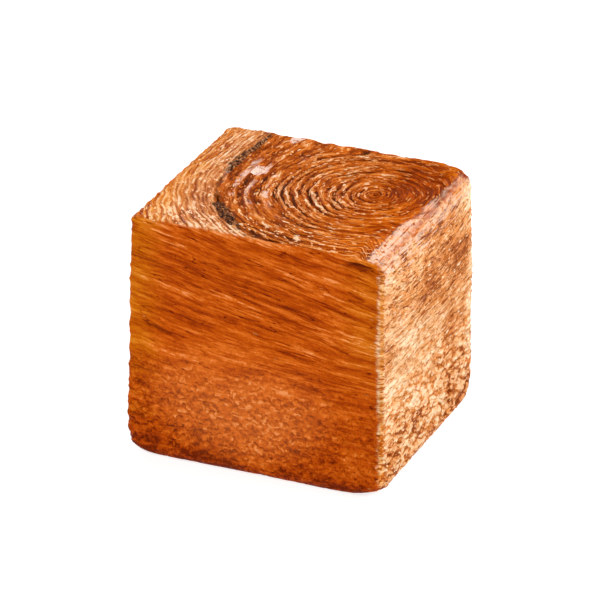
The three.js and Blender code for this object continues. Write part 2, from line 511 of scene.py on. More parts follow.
def rimShares(at):
    # The rolled edge along the right of the top, and the line where it starts.
    across = (at.x + noise(at.rough, 0.12, 2) * 2 + noise(at.rough, 0.5, 2) * 0.9
              + ease(at.y, 8, -28) * 2.6 - 2.4)
    rim = ease(across, *regions["rim"])
    return rim, ease(rim, 0, 0.45) * ease(rim, 0.95, 0.5)


def topLayers(at):
    # Wraps round the centre, broader bands beyond them, and fine lines between and outside.
    given = at.given
    rim, rimLine = rimShares(at)
    calm = 1 - rim * 0.85
    inner, outer, banded = (ease(at.radius, *regions[key]) for key in ("wraps", "outside", "bands"))
    at.wrapCos, wrapUneven = ridges(at, given["Wrap Pitch"])
    at.bandCos, bandUneven = ridges(at, given["Band Pitch"])
    fineCos, fineUneven = ridges(at, given["Fine Pitch"])
    at.leftward = ease(at.dx, *regions["leftHalf"])
    at.wrapShare = inner * blendOf(at.leftward, 0.45, 1) * wrapUneven * calm
    at.bandShare = (1 - inner) * banded * bandUneven * calm
    fineShare = (outer + inner * blendOf(at.leftward, 0.8, 0.3)) * fineUneven * calm
    wrapCrest, bandCrest, fineCrest = ((c * 0.5 + 0.5) for c in (at.wrapCos, at.bandCos, fineCos))
    streak = noise(at.rough, 0.16, 3, 0.6, across=at.wrapAcross * 1.1)
    drop = (at.wrapShare * (1 - wrapCrest ** 2.2) * given["Wrap Height"]
            + at.bandShare * (1 - bandCrest ** 0.8) * given["Band Height"]
            + fineShare * (1 - fineCrest) * given["Fine Height"]
            + (0.4 - streak * 0.6) * given["Streak Height"] * calm + rimLine * 0.5)
    onTop = 1 - ease(at.nz, 0.99, 0.8)    # the edges sink less
    relief = -drop - (0.45 + noise(at.rough, 0.06, 1) * 0.55) * 0.6 * onTop * calm
    hollow = (at.wrapShare * (1 - wrapCrest) + at.bandShare * (1 - bandCrest) * 0.7
              + fineShare * (1 - fineCrest) * 0.6 - streak * 0.4 + rimLine)
    at.rim = rim * at.topShare
    return relief, hollow


def sideLayers(at):
    # Layers that fall across the front and smile on the right, with pits in the lower part.
    given = at.given
    rightward = ease(at.nx, 0.2, 0.8)
    at.fall = ease(at.z, *regions["falling"]) * course["fall"]
    bow = ((at.y - course["smileMiddle"]) / course["smileReach"]) ** 2 - 1.25    # near 0 at the front edge
    smile = rightward * ease(at.z, *regions["smiling"]) * bow * course["smile"]
    at.layerAcross = (at.z + at.x * at.fall - smile
                     + noise(at.rough, 0.03, 1) * 1.6 + noise(at.rough, 0.12, 1) * 0.35)
    streak = noise(at.rough, 0.08, 3, 0.6, across=at.layerAcross * 0.85)
    scallop = (at.layerAcross / given["Scallop Pitch"] * fullTurn).math("SINE") * noise(at.rough, 0.06, 1)
    at.low = ease(at.z + noise(at.rough, 0.07, 1) * 8, *regions["pitted"])
    pitAt = vectorOf(at.x, at.y * (1 - rightward * 0.5), at.layerAcross * 1.15)
    pits = (ease(cells(pitAt, 1 / given["Pit Size"], "SMOOTH_F1"), 0.45, 0.1)
            * ease(noise(at.rough, 0.25, 1), -0.25, 0.2) * blendOf(at.low, 0.1 + rightward * 0.35, 1))
    at.upright = ease((at.nx * at.ny).math("ABSOLUTE"), 0.15, 0.45)
    jag = noise(at.rough, 0.12, 2, across=at.layerAcross * 0.9) * at.upright * 0.5
    relief = (streak * 0.5 * given["Streak Height"] + scallop * given["Scallop Height"] * (1 + at.upright)
              - pits * given["Pit Depth"] * (1 + rightward * 0.7) + jag + 0.05)
    return relief, pits * 0.8 - streak * 0.6 + 0.1


def slitAt(at):
    along = at.x - slit["x"]
    across = along / slit["halfLength"]
    up = (at.z - slit["z"] + along * slit["slope"]) / slit["halfHeight"]
    return ease(across * across + up * up, 1.4, 0.3) * ease(at.ny, -0.2, -0.6)


def edgeBumps(at):
    # Bumps along the top edges.
    nearEdge = ease(at.nz, 0.02, 0.3) * ease(at.nz, 0.999, 0.9) * ease(at.z, 64, 69)
    return ease(noise(at.rough, 0.28, 2, 0.6), 0.3, -0.35) * nearEdge * at.given["Edge Bumps"]


def layerCourse(at):
    # The way the layers run, for what lies along them.
    rise = vectorOf(blendOf(at.topShare, at.fall, at.dx / at.radius),
                    at.topShare * at.dy * at.squeeze / at.radius, 1 - at.topShare)
    return at.facing.vector("CROSS_PRODUCT", rise).vector("NORMALIZE")


def layerTree():
    given = geometryTree("danishLayers", layers)
    at = rollAt(given)
    at.facing = normalOf()
    at.nx, at.ny, at.nz = partsOf(at.facing)
    at.topShare = ease(at.nz, 0.45, 0.85)
    at.wrapAcross = (at.radius + noise(at.rough, 0.13, 2) * 1.1
                    + noise(at.rough, 0.4, 2) * ease(at.radius, 41, 47, 0.5, 0.15))
    topRelief, topHollow = topLayers(at)
    sideRelief, sideHollow = sideLayers(at)
    at.slit = slitAt(at)
    bumps = edgeBumps(at)
    relief = blendOf(at.topShare, sideRelief, topRelief) - at.slit * slit["depth"] - bumps
    # hollow: how deep a spot lies in the grooves, pits, slit and dents along the edges; the crust's finish
    # paints it darker there as painted shade
    at.hollow = blendOf(at.topShare, sideHollow, topHollow) + at.slit + bumps * 0.6
    opening = ease(besideSeam(at, 1)[0], 0.3, -0.15) * at.topShare
    at.scorch = ease(besideSeam(at, 0.8, 0.1)[0], 1.5, 0.2) * at.topShare

    marked = store(given["Geometry"], wrapCos=at.wrapCos, **{name: getattr(at, name) for name in layerFields})
    marked = store(marked, "FLOAT_VECTOR", along=layerCourse(at))
    kept = addNode("GeometryNodeCaptureAttribute")
    kept.capture_items.new("VECTOR", "Shift")
    feed(kept.inputs["Geometry"], marked)
    outwards = scaled(at.facing, relief * mm)
    downwards = vectorOf(0, 0, opening * given["Seam Depth"] * -mm)
    feed(kept.inputs["Shift"], outwards.vector("ADD", downwards))
    return finishTree(moved(output(kept, "Geometry"), Offset=output(kept, "Shift")), given)


# What the materials share.
def placeInMm():
    return scaled(result("ShaderNodeTexCoord", "Object"), 1 / mm)


def attribute(name):
    return result("ShaderNodeAttribute", "Fac", {"attribute_name": name})


def ramp(value, stops):
    made = addNode("ShaderNodeValToRGB")
    points = made.color_ramp.elements
    for i, (position, colour) in enumerate(stops.items()):
        point = points[i] if i < 2 else points.new(position)
        point.position = position
        point.color = (*colour, 1)
    feed(made.inputs[0], value)
    return Wire(made.outputs[0])


def mixColour(share, first, second):
    # first where share is 0, second where it is 1.
    made = addNode("ShaderNodeMix", {"data_type": "RGBA"})
    sockets = [s for s in made.inputs if s.enabled]
    for socket, value in zip(sockets, (share, first, second)):
        feed(socket, (*value, 1) if isinstance(value, tuple) else value)
    return Wire(next(s for s in made.outputs if s.enabled))


def newMaterial(name, specular):
    material = bpy.data.materials.new(name)
    material.use_nodes = True
    current.tree = material.node_tree
    shader = material.node_tree.nodes["Principled BSDF"]
    shader.inputs["Specular IOR Level"].default_value = specular
    return material, shader


def addBump(shader, height, strength, sockets=("Normal",)):
    # height is in mm.
    bump = result("ShaderNodeBump", "Normal", Strength=strength, Distance=mm, Height=height)
    for name in sockets:
        feed(shader.inputs[name], bump)


def crisp(value, width):
    # Noise of -1 to 1 with its middle drawn out, for patches with clear edges.
    return ease(value, -width, width) * 2 - 1


def warped(vector, scale, reach):
    made = result("ShaderNodeTexNoise", "Color", Vector=vector, Scale=scale, Detail=1)
    off = made.vector("SUBTRACT", (0.5, 0.5, 0.5))
    return vector.vector("ADD", scaled(off, reach))


# The crust's finish. Tones go from the deepest brown to the palest, in linear colour.
crustFinish = {
    "side": {0: (0.17, 0.016, 0), 0.25: (0.38, 0.045, 0), 0.5: (0.56, 0.09, 0.001),
             0.75: (0.74, 0.165, 0.014), 1: (0.9, 0.33, 0.11)},
    # pale: the ramp of the right side, partly paler crust and partly painted light from the strong lamp on
    # that side
    "pale": {0: (0.25, 0.045, 0.003), 0.25: (0.54, 0.15, 0.024), 0.5: (0.77, 0.3, 0.082),
             0.75: (0.9, 0.5, 0.24), 1: (1, 0.76, 0.5)},
    "top": {0: (0.075, 0.014, 0.002), 0.25: (0.27, 0.042, 0.002), 0.5: (0.55, 0.115, 0.006),
            0.75: (0.8, 0.3, 0.07), 1: (0.98, 0.68, 0.44)},
    "band": {0: (0.1, 0.022, 0.005), 0.25: (0.3, 0.07, 0.014), 0.5: (0.52, 0.16, 0.038),
             0.75: (0.7, 0.32, 0.125), 1: (0.95, 0.66, 0.45)},
    "gold": {0: (0.26, 0.036, 0), 0.3: (0.5, 0.092, 0), 0.5: (0.62, 0.158, 0.001),
             0.75: (0.78, 0.27, 0.02), 1: (0.95, 0.55, 0.22)},
    # the first two colours are painted: a pink sheen and a pale highlight, where the crust's gloss would
    # shine
    "sheen": (0.97, 0.62, 0.45), "glaze": (0.94, 0.66, 0.56), "salmon": (0.8, 0.23, 0.055),
    "scorched": (0.055, 0.018, 0.006), "slit": (0.09, 0.008, 0.002),
    # patches, each as its middle and its reach in mm
    "salmonPatch": ((-4, 24), (26, 19)),    # along X and Z of the front
    "brightPatch": ((-10, 34), (24, 16)),    # along Y and Z of the right side
    "dullPatch": ((8, 52), (20, 11)),
    "tannedCorner": ((-38, -32, 70), (4, 9, 3)),
    # two spots on the left of the roll that get a glossy painted highlight
    "highlightRadius": 36.6, "highlightTurns": (0.496, 0.385),  # mm, and shares of a turn
    "highlightReach": (1.6, 0.022),
    # the roll gets a painted sheen from this line on
    "rollLine": -41,    # mm, X less Z where the satin roll starts
    "coatRoughness": 0.18, "specular": 0.025,
}


def toned(tone, name):
    return ramp(tone, crustFinish[name])


def patchOf(values, name, outer=1.4, inner=0.0):
    # 1 in the middle of a patch of the finish, easing out past its oval.
    return ease(awayFrom(values, *crustFinish[name]), outer, inner)


def layered(at, scale, detail, roughness, across):
    # Noise in streaks along the layers of the sides.
    return noise(at.spot, scale, detail, roughness, across=at.layerAcross * across)


def wrapped(at, scale, detail, roughness, across):
    # Noise in streaks along the wraps of the top.
    return noise(at.spot, scale, detail, roughness, across=at.wrapAcross * across)


def crustFields():
    # The place in mm, what the layers stored, and the noise that the parts of the finish share.
    at = SimpleNamespace(spot=placeInMm())
    at.x, at.y, at.z = partsOf(at.spot)
    for name in layerFields:
        setattr(at, name, attribute(name))
    at.high = 1 - at.low
    at.drawn = vectorOf(at.x, at.y * 0.6, at.z + at.y * 0.3)
    at.grain = noise(at.drawn, 2, 3, 0.6)
    at.mottle = noise(at.drawn, 0.5, 3, 0.6)
    at.patches = noise(at.spot, 0.09, 2)
    at.tanned = patchOf((at.x, at.y, at.z), "tannedCorner", 1.3, 0.4)
    return at


def addStreaks(at):
    # Marks that follow the layers of the sides: long bands, streaks, short dashes, threads and cracks.
    at.band = crisp(layered(at, 0.03, 2, 0.5, 0.3), 0.45)
    at.streak = crisp(layered(at, 0.07, 4, 0.62, 0.95), 0.35)
    at.dash = crisp(layered(at, 0.28, 3, 0.6, 1.7), 0.3)
    at.thread = crisp(layered(at, 0.09, 2, 0.5, 1.5), 0.3)
    at.crack = ease(layered(at, 0.07, 1, 0.5, 0.5).math("ABSOLUTE"), 0.03, 0) * ease(at.streak, 0.4, -0.3)
    at.fleck = ease(layered(at, 0.26, 3, 0.65, 1.5), 0.08, 0.15)


def addLumps(at):
    # Lumps, crumbs and pits of the lower sides. A lump gets painted light above and painted shade below.
    size = 0.45
    sheared = vectorOf(at.x * 1.2, at.y * 0.6, at.z + at.y * 0.3 + at.layerAcross * 0.15)
    lumpAt = warped(sheared, 0.5, 3.5)
    away = cells(lumpAt, size)
    below = cells(lumpAt.vector("ADD", (0, 0, -0.8)), size)
    at.lump = ease(away, 0.75, 0.2)
    at.crumb = ease(away, 0.72, 0.45)
    at.lit = at.lump - ease(below, 0.75, 0.2)
    at.pits = ease(cells(warped(at.drawn, 0.5, 1.5), 0.3), 0.22, 0.08) * ease(at.mottle, -0.1, 0.2)


def frontTone(at, salmon):
    # Streaks above, lumps and pits below, round a salmon middle where the lumps get more painted light.
    smoothed = crisp(layered(at, 0.16, 2, 0.5, 0.22), 0.25)
    streaks = (at.band * 0.13 * at.high + at.streak * (0.09 + at.high * 0.08)
               + at.dash * (0.05 + at.high * 0.08) + at.thread * (0.03 + at.high * 0.06)
               + ease(at.band, 0, 0.8) * ease(at.dash, 0, 0.8) * at.high * 0.13)
    lumps = (smoothed * 0.09 + at.lit * (0.3 + salmon * 0.32) + at.mottle * (0.32 + salmon * 0.1)
             - at.pits * 0.5) * (1 - ease(at.x, 12, 30) * 0.2)
    # darker along the cracks, and in the hollows as painted shade
    cracks = at.crack * 0.5 * (0.4 + at.high * 0.6) + at.hollow * 0.15
    # a painted highlight along the top edge, painted shade towards the base, darker low on the left and at
    # the tanned corner
    edges = (ease(at.z, 68.6, 70.6) * (0.22 + at.dash * 0.1) - ease(at.z, 9, 0) * 0.36
             - ease(at.x, -14, -32) * at.low * 0.12 - at.tanned * 0.3)
    return (0.45 + streaks + at.low * (lumps + at.patches * 0.28) + salmon * 0.13 + at.grain * 0.2
            - cracks + edges)


def goldShare(at):
    # Down the left edge of the front, and beside the upper part of its right edge.
    left = ease(at.x + at.streak * 2, -25, -37) * ease(at.z + at.band * 8, 10, 36) * 0.95
    right = ease(at.x + at.streak * 3, 22, 36) * ease(at.z + at.band * 6, 28, 52) * 0.5
    return (left + right) * ease(at.y, -20, -34)


def rightShare(at):
    # 1 on the right side, which meets the front in fine teeth.
    toothAt = vectorOf(at.x * 0.3 + at.z * 0.5, at.y * 0.3 - at.z * 0.42, at.z * 0.75)
    teeth = noise(toothAt, 0.7, 3, 0.65)
    cornerX = 38.4 - at.z * 0.018
    return ease(at.x - cornerX + teeth * 2, -2.1, -0.7) * (1 - at.topShare)


def rightTone(at):
    # The paler right side, partly paler crust and partly painted light from the lamp on that side: flecks,
    # painted sheen streaks and painted glints above, crumbs below.
    shade = crisp(layered(at, 0.12, 2, 0.5, 0.3), 0.4)
    paintedSheenStreak = crisp(layered(at, 0.07, 4, 0.6, 0.7), 0.3)
    paintedGlint = ease(layered(at, 0.6, 2, 0.5, 1.1), 0.18, 0.3)
    broad = (at.patches * 0.5 + patchOf((at.y, at.z), "brightPatch") * 0.15
             - patchOf((at.y, at.z), "dullPatch") * 0.12)
    marks = (shade * 0.08 + paintedSheenStreak * 0.14 * at.high + at.dash * (0.06 + at.high * 0.07) + paintedGlint * 0.32
             - at.fleck * 0.45 * (at.high * 0.8 + 0.2))
    crumbs = (at.crumb * 0.5 - 0.28 + at.lit * 0.3 + at.mottle * 0.22 - at.pits * 0.3) * at.low
    # near the front corner: darker low down, lighter higher up, and painted light along the corner itself
    near = ease(at.y, -18, -34) * (ease(at.z, 16, 38) * 0.12 - 0.06) + ease(at.y, -32, -35) * 0.12
    # towards the back: lighter near the top, darker across the back part, and a painted rim light down the
    # back edge
    far = (ease(at.z, 48, 66) * ease(at.y, 8, 30) * 0.36 - ease(at.y, -15, 32) * 0.22
           + ease(at.y, 25, 31) * ease(at.z, 8, 24) * 0.45)
    # darker in the hollows and towards the base, as painted shade
    return (0.57 + broad + marks + crumbs + near + far + at.grain * 0.3 - at.hollow * 0.22
            - ease(at.z, 8, 0) * 0.2)


def addWraps(at):
    # The roll's grooves, crests and threads, and where the band outside the seam lies.
    dx, dy = at.x - layers["Centre X"], at.y - layers["Centre Y"]
    at.turn = dy.math("ARCTAN2", dx) / fullTurn
    wrapLine, at.fineLine = (((at.wrapAcross / layers[pitch] - at.turn) * fullTurn).math("COSINE")
                            for pitch in ("Wrap Pitch", "Fine Pitch"))
    at.topStreak = crisp(wrapped(at, 0.08, 3, 0.6, 0.75), 0.3)
    at.topThread = crisp(wrapped(at, 0.2, 3, 0.6, 1.4), 0.3)
    at.leftBand = ease(at.radius, *regions["outside"])
    at.groove = ease(wrapLine - at.topThread * 0.3, -0.1, -0.8) * at.wrapShare
    at.crest = ease(wrapLine + at.topThread * 0.5, 0.2, 0.9) * at.wrapShare


def glossAndHighlightShare(at):
    # Glossy bands on the left of the roll with a painted highlight, and two spots where it covers most.
    glazed = (ease(at.bandCos + at.topStreak * 0.3, 0, 0.6) * at.bandShare * at.leftward
              * ease(at.patches + at.topStreak * 0.04, -0.02, 0.1)
              * ease(at.y, -22, -4) * ease(at.y, 22, 14))
    for turn in crustFinish["highlightTurns"]:
        away = awayFrom((at.radius, at.turn), (crustFinish["highlightRadius"], turn), crustFinish["highlightReach"])
        thick = ease(away + at.topThread * 0.3 + at.grain * 0.4, 1.2, 0.8) * at.topShare
        glazed = glazed.math("MAXIMUM", thick)
    return glazed


def topTone(at):
    # Streaks and glints along the wraps. The front strip and the centre have the most glints.
    glint = ease(wrapped(at, 0.45, 2, 0.5, 0.95), 0.16, 0.28)
    frontStrip = ease(at.y, -18, -28) * ease(at.x, 36, 28)
    rimEdge = ease(at.rim, 0, 0.35) * ease(at.rim, 0.9, 0.45)
    far = ease(at.leftward, 0.6, 0) * ease(at.y, -8, 16)
    bandGroove = ease(at.bandCos - at.topThread * 0.3, -0.1, -0.8) * at.bandShare
    bandCrest = ease(at.bandCos + at.topThread * 0.5, 0.2, 0.9) * at.bandShare
    streaks = (at.topStreak * (0.18 - at.leftward * 0.04 + frontStrip * 0.04 + at.leftBand * 0.06)
               + at.topThread * (0.21 - at.leftward * 0.04)
               + at.fineLine * (at.leftBand * 0.12 + (1 - at.leftward) * 0.08 + frontStrip * 0.13))
    glints = glint * (1 - far * 0.8) * (0.16 + at.leftBand * 0.2 + at.leftward * (0.08 + at.bandShare * 0.14)
                                      + frontStrip * 0.62 + ease(at.radius, 17, 7) * 0.55)
    # the crests get a painted highlight, most on the left, and the grooves and hollows painted shade
    wraps = (at.crest * (0.14 + at.leftward * 0.33) - at.groove * 0.46
             + bandCrest * 0.1 - bandGroove * 0.22 - at.hollow * 0.05)
    # the band outside the seam is lighter, partly as painted sheen; painted shade runs along the line where
    # the roll starts
    broad = (at.leftBand * 0.14 - at.leftward * (1 - at.leftBand) * 0.05 - far * 0.32 - at.tanned * 0.4
             + ease(at.x + at.y, 50, 64) * 0.24 - rimEdge * 0.45 * ease(at.mottle, -0.2, 0.2))
    return 0.45 + streaks + glints + wraps + broad + at.grain * 0.25


def addRoll(at):
    # The glossy roll along the right edge of the top with a painted sheen, the streaks of it below, and beads
    # of painted highlight.
    across = at.x - at.z - crustFinish["rollLine"]
    streak = (noise(at.spot, 0.06, 3, 0.65, across=across * 1.1)
              + noise(at.spot, 0.3, 2, 0.5, across=across * 0.5) * 0.5)
    forward = ease(at.y, 10, -28)
    reach = ease(across - ease(at.y, 4, -26) * ease(at.z, 66, 56) * 18, 30, 12)
    bias = ease(across, 18, 6) * 0.46 - 0.3 + forward * 0.05
    pinholes = ease(cells(at.spot, 0.6), 0.35, 0.1) * forward * 0.4
    at.satin = (ease(streak + bias - pinholes, -0.06, 0.16) * reach * ease(at.x, 30.5, 32.5)
               * (0.6 + forward * 0.22))
    at.beads = ease(cells(at.spot, 0.85), 0.4, 0.2) * ease(at.x, 30, 32) * ease(across, 11, 6) * forward
    at.onRoll = blendOf(at.topShare, at.right * (1 - at.upright), at.rim)


def sideColour(at):
    salmon = patchOf((at.x, at.z), "salmonPatch", 1.5, 0.1)
    tone, pale = frontTone(at, salmon), rightTone(at)
    front = mixColour(salmon * at.low * 0.3, toned(tone, "side"), crustFinish["salmon"])
    front = mixColour(goldShare(at), front, toned(tone * 0.8 + 0.13, "gold"))
    right = mixColour(at.upright * ease(at.y, -10, -30) * 0.8, toned(pale, "pale"), toned(pale, "gold"))
    return mixColour(at.right, front, right)


def topColour(at):
    tone = topTone(at)
    amber = mixColour(0.45, toned(tone, "side"), toned(tone - 0.04, "gold"))
    colour = mixColour((1 - at.leftward) * (1 - at.rim) * 0.92, toned(tone + 0.02, "top"), amber)
    # the band outside the seam takes a pinker ramp, partly its own colour and partly painted sheen
    colour = mixColour(at.leftBand * 0.7, colour, toned(tone, "band"))
    glazed = at.glazed * ease(at.mottle + at.topThread * 0.1, -0.3, 0)
    # pale patches with a painted highlight, where the bands are glossy
    colour = mixColour(glazed, colour, crustFinish["glaze"])
    golden = (ease(at.x + at.mottle * 6 + at.y * 0.1, -27, -36) * 0.75
              + ease(at.x + at.y + at.mottle * 5, 48, 62) * (1 - at.rim) * 0.7)
    return mixColour(golden, colour, toned(tone, "gold"))


def crustColour(at):
    colour = mixColour(at.topShare, sideColour(at), topColour(at))
    # a painted sheen on the roll, and painted highlights in the beads on it
    colour = mixColour(at.satin * at.onRoll, colour, crustFinish["sheen"])
    colour = mixColour(at.beads * at.onRoll * 0.8, colour, crustFinish["glaze"])
    scorched = at.scorch * ease(at.mottle + at.grain * 0.7, -0.35, 0.3) * 0.9
    colour = mixColour(scorched, colour, crustFinish["scorched"])
    # the slit is painted nearly black, as painted shade inside it
    return mixColour(at.slit * 0.8, colour, crustFinish["slit"])


def crustHeight(at):
    side = ((at.streak * 0.07 + at.dash * 0.06) * (0.4 + at.high * 0.6) - at.right * at.fleck * 0.2
            + at.low * (at.lump * 0.4 - at.pits * 0.25 + at.mottle * 0.14))
    top = ((at.topStreak * 0.14 + at.topThread * 0.1 + at.fineLine * 0.06) * (1 - at.rim * 0.5)
           + at.crest * 0.12 - at.groove * 0.12)
    return blendOf(at.topShare, side, top) + at.grain * 0.05


def crustMaterial():
    material, shader = newMaterial("bakedCrust", crustFinish["specular"])
    at = crustFields()
    addStreaks(at)
    addLumps(at)
    addWraps(at)
    at.right = rightShare(at)
    at.glazed = glossAndHighlightShare(at)
    addRoll(at)
    gloss = ((at.leftBand * 0.2 + at.glazed * 0.5 + at.crest * at.leftward * 0.5) * at.topShare
             + at.satin * at.onRoll * 0.35)
    feed(shader.inputs["Base Color"], crustColour(at))
    feed(shader.inputs["Roughness"], 0.5 - at.grain * 0.2 - at.satin * 0.25 - at.glazed * 0.25)
    feed(shader.inputs["Coat Weight"], gloss)
    shader.inputs["Coat Roughness"].default_value = crustFinish["coatRoughness"]
    addBump(shader, crustHeight(at), 1, ("Normal", "Coat Normal"))
    return material


# The garlic filling: a standing sheet with a granular top.
filling = {
    "sizes": {
        "Sunk": 0.6, "Depth": 61.0, "Lumps": 0.6,    # mm
        "Grain Density": 3.0, "Grain Size": 0.8,    # on a square mm, and mm
        **{key: layers[key] for key in ("Seed", "Centre X", "Centre Y", "Seam Radius")},
    },
    "least": (0.5, 0.5, 0.4), "most": (1.3, 1.2, 1.0),    # shares of a grain's size
    "corner": (-33, -32), "across": 50, "along": 68, "step": 0.3,   # mm, the flat sheet it starts from
    "tones": {0: (0.015, 0.004, 0.002), 0.3: (0.07, 0.018, 0.005), 0.5: (0.24, 0.075, 0.022),
              1: (0.7, 0.34, 0.15)},
    "specular": 0.1,
}


def fillingSheet():
    # A flat sheet over the left of the top, a little finer than the grains.
    step, (left, front) = filling["step"], filling["corner"]
    columns, rows = int(filling["across"] / step), int(filling["along"] / step)
    x, y = np.meshgrid(left + np.arange(columns + 1) * step, front + np.arange(rows + 1) * step)
    points = np.stack([x, y, np.full_like(x, block["height"])], axis=-1).reshape(-1, 3)
    corner = (np.arange(rows)[:, None] * (columns + 1) + np.arange(columns)[None]).reshape(-1)
    faces = [(int(c), int(c + 1), int(c + columns + 2), int(c + columns + 1)) for c in corner]
    return newPiece("garlicFilling", points * mm, faces)


def fillingTop(at):
    # What of the sheet lies in the seam, made lumpy. It sinks where the seam is pinched.
    beside, pinch = besideSeam(at, 0.3)
    cut = result("GeometryNodeDeleteGeometry", "Geometry", {"domain": "FACE"},
                 Geometry=at.given["Geometry"], Selection=beside.math("GREATER_THAN", 0.35))
    lumps = (noise(at.rough, 1.1, 2, 0.6) * at.given["Lumps"] - at.given["Sunk"]
             - ease(beside, -0.2, 0.3) * 0.25 - pinch * 2.5)
    return moved(cut, Offset=vectorOf(0, 0, lumps * mm))


def standingSheet(top, depth):
    # The top drawn down into a closed sheet.
    pulled = result("GeometryNodeExtrudeMesh", "Mesh", {"mode": "FACES"}, Mesh=top,
                    Offset=vectorOf(0, 0, depth * -mm), Offset_Scale=1, Individual=False)
    turned = result("GeometryNodeFlipFaces", "Mesh", Mesh=pulled)
    return result("GeometryNodeMergeByDistance", "Geometry", Geometry=joined(top, turned), Distance=0.01 * mm)


def garlicGrains(top, given):
    points = result("GeometryNodeDistributePointsOnFaces", "Points", Mesh=top,
                    Density=given["Grain Density"] * perSquareMm, Seed=5)
    ball = result("GeometryNodeMeshIcoSphere", "Mesh", Radius=0.5, Subdivisions=1)
    spans = randomOf(filling["least"], filling["most"], 2, "FLOAT_VECTOR")
    size = scaled(spans, given["Grain Size"] * mm)
    anyWay = randomOf((0, 0, 0), (6.3, 6.3, 6.3), 4, "FLOAT_VECTOR")    # radians
    scattered = result("GeometryNodeInstanceOnPoints", "Instances", Points=points, Instance=ball,
                       Rotation=anyWay, Scale=size)
    return store(scattered, domain="INSTANCE", tint=randomOf(0, 1, 6))


def fillingTree():
    given = geometryTree("garlicFilling", filling["sizes"])
    top = fillingTop(rollAt(given))
    core = store(standingSheet(top, given["Depth"]), tint=0.6)
    whole = realized(joined(core, garlicGrains(top, given)))
    return finishTree(whole, given)


def fillingMaterial():
    material, shader = newMaterial("scorchedGarlic", filling["specular"])
    spot = placeInMm()
    tone = attribute("tint") * 0.75 + noise(spot, 0.6, 3, 0.6) * 0.9
    feed(shader.inputs["Base Color"], ramp(tone, filling["tones"]))
    feed(shader.inputs["Roughness"], 0.5 - noise(spot, 0.8, 1) * 0.2)
    addBump(shader, noise(spot, 2.5, 3) * 0.08, 0.6)
    return material


# Flakes: thin slivers of crust that lift along the layers.
flakes = {
    "sizes": {
        "Density": 0.3,    # on a square mm
        "Length": 1.7, "Width": 0.45, "Thickness": 0.14,   # mm
        "Lift": 0.12,    # radians
        "Seed": 11,
    },
    "least": (0.4, 0.45, 0.6), "most": (1.5, 1.3, 1.6),    # shares of the usual size
    "tones": {0: (0.5, 0.12, 0.015), 0.45: (0.74, 0.27, 0.07), 0.8: (0.88, 0.5, 0.24),
              1: (0.95, 0.75, 0.52)},
    "specular": 0.1,
}


def oneFlake():
    # A millimetre each way, pointed at both ends and arched along its length.
    bar = result("GeometryNodeMeshCube", "Mesh", Size=(1, 1, 1), Vertices_X=5, Vertices_Y=2, Vertices_Z=2)
    x, y, z = partsOf(placeOf())
    slim = 1 - x * x * 3.4
    return moved(bar, Position=vectorOf(x, y * slim, z * slim + (0.25 - x * x) * 1.4))


def flakeCrowd():
    # How thick they lie: most on the crests of the wraps and along the upright edges.
    nx, ny, nz = partsOf(normalOf())
    x, y, z = partsOf(scaled(placeOf(), 1 / mm))
    names = ("topShare", "wrapShare", "wrapCos", "rim", "scorch", "upright", "leftward")
    topShare, wrapShare, wrapCos, rim, scorch, upright, leftward = (fieldOf(name) for name in names)
    onSide = 0.01 + ease(nx, 0.3, 0.8) * 0.6 + upright * 0.9 * ease(nx, -0.2, 0.2)
    onTop = 0.35 + wrapShare * ease(wrapCos, 0.2, 0.9) * 3.5 + leftward * 0.25
    return blendOf(topShare, onSide, onTop * (1 - rim * 0.8)) * (1 - scorch) * ease(z, 0.8, 3)


def flakeTree():
    given = geometryTree("danishFlakes", flakes["sizes"], whole=("Seed",))
    spread = addNode("GeometryNodeDistributePointsOnFaces", Mesh=given["Geometry"],
                     Density=flakeCrowd() * given["Density"] * perSquareMm, Seed=given["Seed"])
    laid = result("FunctionNodeAlignRotationToVector", "Rotation", {"axis": "X"},
                  Vector=fieldOf("along", "FLOAT_VECTOR"))
    stood = result("FunctionNodeAlignRotationToVector", "Rotation",
                   {"axis": "Z", "pivot_axis": "X"}, Rotation=laid, Vector=output(spread, "Normal"))
    usual = vectorOf(given["Length"] * mm, given["Width"] * mm, given["Thickness"] * mm)
    size = usual.vector("MULTIPLY", randomOf(flakes["least"], flakes["most"], 8, "FLOAT_VECTOR"))
    placed = result("GeometryNodeInstanceOnPoints", "Instances", Rotation=stood, Scale=size,
                    Points=output(spread, "Points"), Instance=oneFlake())
    lift = given["Lift"]
    tilt = vectorOf(randomOf(-0.5, 0.5, 9), lift * randomOf(-1, 1, 10), lift * randomOf(-2, 2, 12))
    tipped = result("GeometryNodeRotateInstances", "Instances", Instances=placed, Rotation=tilt,
                    Local_Space=True)
    tinted = store(tipped, domain="INSTANCE", tint=randomOf(0, 1, 13))
    return finishTree(realized(tinted), given)


def flakeMaterial():
    material, shader = newMaterial("flakedCrust", flakes["specular"])
    spot = placeInMm()
    x, y, z = partsOf(spot)
    onFront = ease(z, 71, 69) * ease(x, 37, 35.5)
    far = ease(x, 0, 14) * ease(y, -8, 8) * ease(z, 68, 70) * ease(x, 35, 32)
    tone = (attribute("tint") * (0.85 - onFront * 0.6 - far * 0.5) - onFront * 0.1
            + ease(x, 35, 37.5) * (0.15 - ease(y, -33, -34.5) * 0.4) + noise(spot, 0.9, 3) * 0.5)
    feed(shader.inputs["Base Color"], ramp(tone, flakes["tones"]))
    feed(shader.inputs["Roughness"], 0.38 - noise(spot, 1.5, 1) * 0.12)
    addBump(shader, noise(spot, 3, 2) * 0.05, 0.5)
    return material


